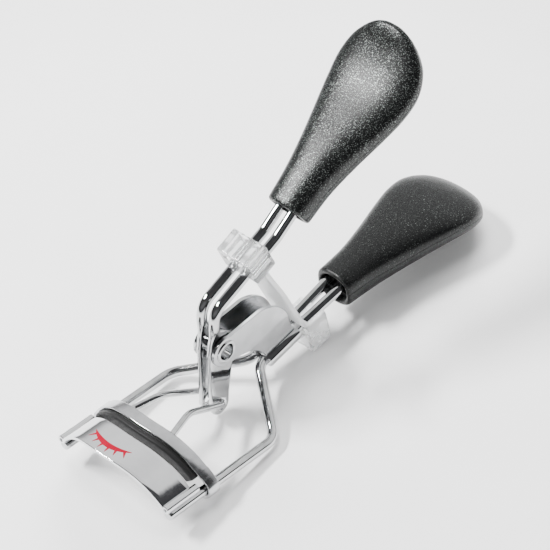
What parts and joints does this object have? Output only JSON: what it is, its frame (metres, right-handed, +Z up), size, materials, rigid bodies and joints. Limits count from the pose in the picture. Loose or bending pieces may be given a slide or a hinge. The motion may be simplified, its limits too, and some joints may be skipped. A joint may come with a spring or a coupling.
{
  "type": "eyelash curler",
  "caption": "Hand-held eyelash curler: wire frame with an arched lash plate, a rubber-padded jaw that slides on two guide wires, and a sprung squeeze lever.",
  "frame": {"origin": "middle of the pivot rivet, on its axis", "axes": "+X back from the jaw to the grips, +Y to the left along the rivet, +Z up. The tool lies on the bends of its guide wires and the tip of its lower grip, so the guide wires climb forwards at the lean angle."},
  "size_m": [0.1182, 0.0362, 0.0699],
  "materials": {
    "chrome_wire": "polished",
    "chrome_sheet": "polished",
    "grip_plastic": "fine speckle, semi gloss",
    "pad_rubber": "satin",
    "clear_plastic": "clear moulded"
  },
  "bodies": {
    "frame": {"frame_wire_left": "chrome_wire", "frame_wire_right": "chrome_wire", "lash_plate": "chrome_sheet", "pivot_bracket": "chrome_sheet", "pivot_rivet": "chrome_sheet", "lower_grip_outer": "grip_plastic", "lower_grip_inner": "grip_plastic", "spring_clip_lower": "clear_plastic", "spring_leaf": "clear_plastic"},
    "lever": {"lever_wire_left": "chrome_wire", "lever_wire_right": "chrome_wire", "upper_grip_outer": "grip_plastic", "upper_grip_inner": "grip_plastic", "spring_clip_upper": "clear_plastic"},
    "jaw": {"jaw_channel": "chrome_sheet", "lash_pad": "pad_rubber", "push_rod_left": "chrome_wire", "push_rod_right": "chrome_wire"}
  },
  "joints": [
    {"name": "lever_pivot", "type": "hinge", "parent": "frame", "child": "lever", "pos_m": [0, 0, 0], "axis": [0, 1, 0], "range_deg": [-30, 5], "stiffness_Nm_per_rad": 0.4, "deforming": ["spring_leaf"]},
    {"name": "jaw_slide", "type": "slide", "parent": "frame", "child": "jaw", "axis": [-0.993, 0, 0.1184], "range_m": [-0.0078, 0.0013]}
  ],
  "couplings": [
    {"joint": "jaw_slide", "follows": "lever_pivot", "m_per_rad": 0.0147}
  ]
}
